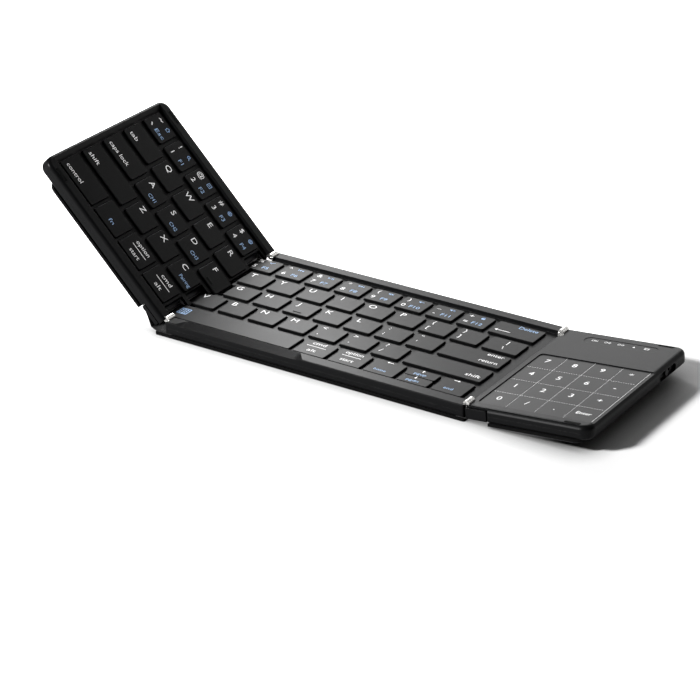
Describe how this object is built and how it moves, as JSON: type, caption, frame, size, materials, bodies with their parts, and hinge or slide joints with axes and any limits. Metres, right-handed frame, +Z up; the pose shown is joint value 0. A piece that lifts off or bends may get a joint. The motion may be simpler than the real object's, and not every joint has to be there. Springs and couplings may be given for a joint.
{
  "type": "folding keyboard",
  "caption": "Three-panel folding keyboard: two wings hinge over a middle panel, one with keys and one with a touchpad, with sliding fabric-covered boards.",
  "frame": {"origin": "middle of the middle panel on the surface it rests on", "axes": "+X to the right along the key rows, +Y to the rear, +Z up"},
  "size_m": [0.2859, 0.0928, 0.0722],
  "materials": {
    "shell_dark": "satin",
    "shell_wing": "satin",
    "key_plastic": "satin",
    "board_fabric": "woven",
    "spine_fabric": "woven",
    "plate_steel": "brushed",
    "nickel": "satin",
    "dome_rubber": "matt",
    "bumper_rubber": "matt",
    "pad_surface": "satin",
    "board_green": "satin",
    "cell_foil": "satin",
    "flex_film": "satin"
  },
  "bodies": {
    "middle": {"middle_top_frame": "shell_dark", "middle_bottom_shell": "shell_dark", "middle_board": "board_fabric", "middle_support_plate": "plate_steel", "middle_dome_sheet": "dome_rubber", "middle_hinge_leaves": "nickel", "hinge_pins": "nickel", "middle_hinge_screws": "nickel", "spine_skin_left": "spine_fabric", "spine_skin_right": "spine_fabric", "flex_cable_left": "flex_film", "flex_cable_right": "flex_film"},
    "left_wing": {"left_top_frame": "shell_wing", "left_bottom_shell": "shell_dark", "left_support_plate": "plate_steel", "left_dome_sheet": "dome_rubber", "left_bumpers": "bumper_rubber", "left_hinge_leaves": "nickel", "left_hinge_screws": "nickel", "left_spine_bar": "shell_dark"},
    "right_wing": {"right_top_shell": "shell_wing", "right_bottom_shell": "shell_dark", "touchpad_panel": "pad_surface", "main_circuit_board": "board_green", "battery": "cell_foil", "status_window": "pad_surface", "charging_socket": "nickel", "right_bumpers": "bumper_rubber", "right_hinge_leaves": "nickel", "right_hinge_screws": "nickel", "right_spine_bar": "shell_dark"},
    "left_board": {"left_board": "board_fabric"},
    "right_board": {"right_board": "board_fabric"},
    "power_knob": {"power_knob": "shell_dark"},
    "keys_one_to_four": {"keys_one_to_four": "key_plastic"},
    "keys_qwer": {"keys_qwer": "key_plastic"},
    "keys_asdf": {"keys_asdf": "key_plastic"},
    "keys_zxc": {"keys_zxc": "key_plastic"},
    "key_escape": {"key_escape": "key_plastic"},
    "key_tab": {"key_tab": "key_plastic"},
    "key_caps_lock": {"key_caps_lock": "key_plastic"},
    "key_shift_left": {"key_shift_left": "key_plastic"},
    "key_control": {"key_control": "key_plastic"},
    "key_function": {"key_function": "key_plastic"},
    "key_option_left": {"key_option_left": "key_plastic"},
    "key_command_left": {"key_command_left": "key_plastic"},
    "keys_five_to_equals": {"keys_five_to_equals": "key_plastic"},
    "keys_t_to_backslash": {"keys_t_to_backslash": "key_plastic"},
    "keys_g_to_quote": {"keys_g_to_quote": "key_plastic"},
    "keys_v_to_slash": {"keys_v_to_slash": "key_plastic"},
    "key_delete": {"key_delete": "key_plastic"},
    "key_enter": {"key_enter": "key_plastic"},
    "key_shift_right": {"key_shift_right": "key_plastic"},
    "key_space": {"key_space": "key_plastic"},
    "key_command_right": {"key_command_right": "key_plastic"},
    "key_option_right": {"key_option_right": "key_plastic"},
    "key_arrow_left": {"key_arrow_left": "key_plastic"},
    "key_arrow_up": {"key_arrow_up": "key_plastic"},
    "key_arrow_down": {"key_arrow_down": "key_plastic"},
    "key_arrow_right": {"key_arrow_right": "key_plastic"}
  },
  "joints": [
    {"name": "fold_left", "type": "hinge", "parent": "middle", "child": "left_wing", "pos_m": [-0.0786, 0, 0.0078], "axis": [0, 1, 0], "range_deg": [-45.3, 134.7], "deforming": ["spine_skin_left", "flex_cable_left"]},
    {"name": "fold_right", "type": "hinge", "parent": "middle", "child": "right_wing", "pos_m": [0.0786, 0, 0.0078], "axis": [0, -1, 0], "range_deg": [-5.3, 174.7], "deforming": ["spine_skin_right", "flex_cable_right"]},
    {"name": "slide_left_board", "type": "slide", "parent": "left_wing", "child": "left_board", "axis": [0.7034, 0, -0.7108], "range_m": [-0.00616, 0.01829]},
    {"name": "slide_right_board", "type": "slide", "parent": "right_wing", "child": "right_board", "axis": [-0.9957, 0, -0.0924], "range_m": [-0.00041, 0.01301]},
    {"name": "press_one_to_four", "type": "slide", "parent": "left_wing", "child": "keys_one_to_four", "axis": [0.7108, 0, 0.7034], "range_m": [-0.0012, 0], "stiffness_N_per_m": 300, "springref_m": 0.0006},
    {"name": "press_qwer", "type": "slide", "parent": "left_wing", "child": "keys_qwer", "axis": [0.7108, 0, 0.7034], "range_m": [-0.0012, 0], "stiffness_N_per_m": 300, "springref_m": 0.0006},
    {"name": "press_asdf", "type": "slide", "parent": "left_wing", "child": "keys_asdf", "axis": [0.7108, 0, 0.7034], "range_m": [-0.0012, 0], "stiffness_N_per_m": 300, "springref_m": 0.0006},
    {"name": "press_zxc", "type": "slide", "parent": "left_wing", "child": "keys_zxc", "axis": [0.7108, 0, 0.7034], "range_m": [-0.0012, 0], "stiffness_N_per_m": 300, "springref_m": 0.0006},
    {"name": "press_escape", "type": "slide", "parent": "left_wing", "child": "key_escape", "axis": [0.7108, 0, 0.7034], "range_m": [-0.0012, 0], "stiffness_N_per_m": 300, "springref_m": 0.0006},
    {"name": "press_tab", "type": "slide", "parent": "left_wing", "child": "key_tab", "axis": [0.7108, 0, 0.7034], "range_m": [-0.0012, 0], "stiffness_N_per_m": 300, "springref_m": 0.0006},
    {"name": "press_caps_lock", "type": "slide", "parent": "left_wing", "child": "key_caps_lock", "axis": [0.7108, 0, 0.7034], "range_m": [-0.0012, 0], "stiffness_N_per_m": 300, "springref_m": 0.0006},
    {"name": "press_shift_left", "type": "slide", "parent": "left_wing", "child": "key_shift_left", "axis": [0.7108, 0, 0.7034], "range_m": [-0.0012, 0], "stiffness_N_per_m": 300, "springref_m": 0.0006},
    {"name": "press_control", "type": "slide", "parent": "left_wing", "child": "key_control", "axis": [0.7108, 0, 0.7034], "range_m": [-0.0012, 0], "stiffness_N_per_m": 300, "springref_m": 0.0006},
    {"name": "press_function", "type": "slide", "parent": "left_wing", "child": "key_function", "axis": [0.7108, 0, 0.7034], "range_m": [-0.0012, 0], "stiffness_N_per_m": 300, "springref_m": 0.0006},
    {"name": "press_option_left", "type": "slide", "parent": "left_wing", "child": "key_option_left", "axis": [0.7108, 0, 0.7034], "range_m": [-0.0012, 0], "stiffness_N_per_m": 300, "springref_m": 0.0006},
    {"name": "press_command_left", "type": "slide", "parent": "left_wing", "child": "key_command_left", "axis": [0.7108, 0, 0.7034], "range_m": [-0.0012, 0], "stiffness_N_per_m": 300, "springref_m": 0.0006},
    {"name": "press_five_to_equals", "type": "slide", "parent": "middle", "child": "keys_five_to_equals", "axis": [0, 0, 1], "range_m": [-0.0012, 0], "stiffness_N_per_m": 300, "springref_m": 0.0006},
    {"name": "press_t_to_backslash", "type": "slide", "parent": "middle", "child": "keys_t_to_backslash", "axis": [0, 0, 1], "range_m": [-0.0012, 0], "stiffness_N_per_m": 300, "springref_m": 0.0006},
    {"name": "press_g_to_quote", "type": "slide", "parent": "middle", "child": "keys_g_to_quote", "axis": [0, 0, 1], "range_m": [-0.0012, 0], "stiffness_N_per_m": 300, "springref_m": 0.0006},
    {"name": "press_v_to_slash", "type": "slide", "parent": "middle", "child": "keys_v_to_slash", "axis": [0, 0, 1], "range_m": [-0.0012, 0], "stiffness_N_per_m": 300, "springref_m": 0.0006},
    {"name": "press_delete", "type": "slide", "parent": "middle", "child": "key_delete", "axis": [0, 0, 1], "range_m": [-0.0012, 0], "stiffness_N_per_m": 300, "springref_m": 0.0006},
    {"name": "press_enter", "type": "slide", "parent": "middle", "child": "key_enter", "axis": [0, 0, 1], "range_m": [-0.0012, 0], "stiffness_N_per_m": 300, "springref_m": 0.0006},
    {"name": "press_shift_right", "type": "slide", "parent": "middle", "child": "key_shift_right", "axis": [0, 0, 1], "range_m": [-0.0012, 0], "stiffness_N_per_m": 300, "springref_m": 0.0006},
    {"name": "press_space", "type": "slide", "parent": "middle", "child": "key_space", "axis": [0, 0, 1], "range_m": [-0.0012, 0], "stiffness_N_per_m": 300, "springref_m": 0.0006},
    {"name": "press_command_right", "type": "slide", "parent": "middle", "child": "key_command_right", "axis": [0, 0, 1], "range_m": [-0.0012, 0], "stiffness_N_per_m": 300, "springref_m": 0.0006},
    {"name": "press_option_right", "type": "slide", "parent": "middle", "child": "key_option_right", "axis": [0, 0, 1], "range_m": [-0.0012, 0], "stiffness_N_per_m": 300, "springref_m": 0.0006},
    {"name": "press_arrow_left", "type": "slide", "parent": "middle", "child": "key_arrow_left", "axis": [0, 0, 1], "range_m": [-0.0012, 0], "stiffness_N_per_m": 300, "springref_m": 0.0006},
    {"name": "press_arrow_up", "type": "slide", "parent": "middle", "child": "key_arrow_up", "axis": [0, 0, 1], "range_m": [-0.0012, 0], "stiffness_N_per_m": 300, "springref_m": 0.0006},
    {"name": "press_arrow_down", "type": "slide", "parent": "middle", "child": "key_arrow_down", "axis": [0, 0, 1], "range_m": [-0.0012, 0], "stiffness_N_per_m": 300, "springref_m": 0.0006},
    {"name": "press_arrow_right", "type": "slide", "parent": "middle", "child": "key_arrow_right", "axis": [0, 0, 1], "range_m": [-0.0012, 0], "stiffness_N_per_m": 300, "springref_m": 0.0006},
    {"name": "power_slide", "type": "slide", "parent": "right_wing", "child": "power_knob", "axis": [0, 1, 0], "range_m": [0, 0.004]}
  ],
  "couplings": [
    {"joint": "slide_left_board", "follows": "fold_left", "m_per_rad": 0.00777},
    {"joint": "slide_right_board", "follows": "fold_right", "m_per_rad": 0.00426}
  ]
}
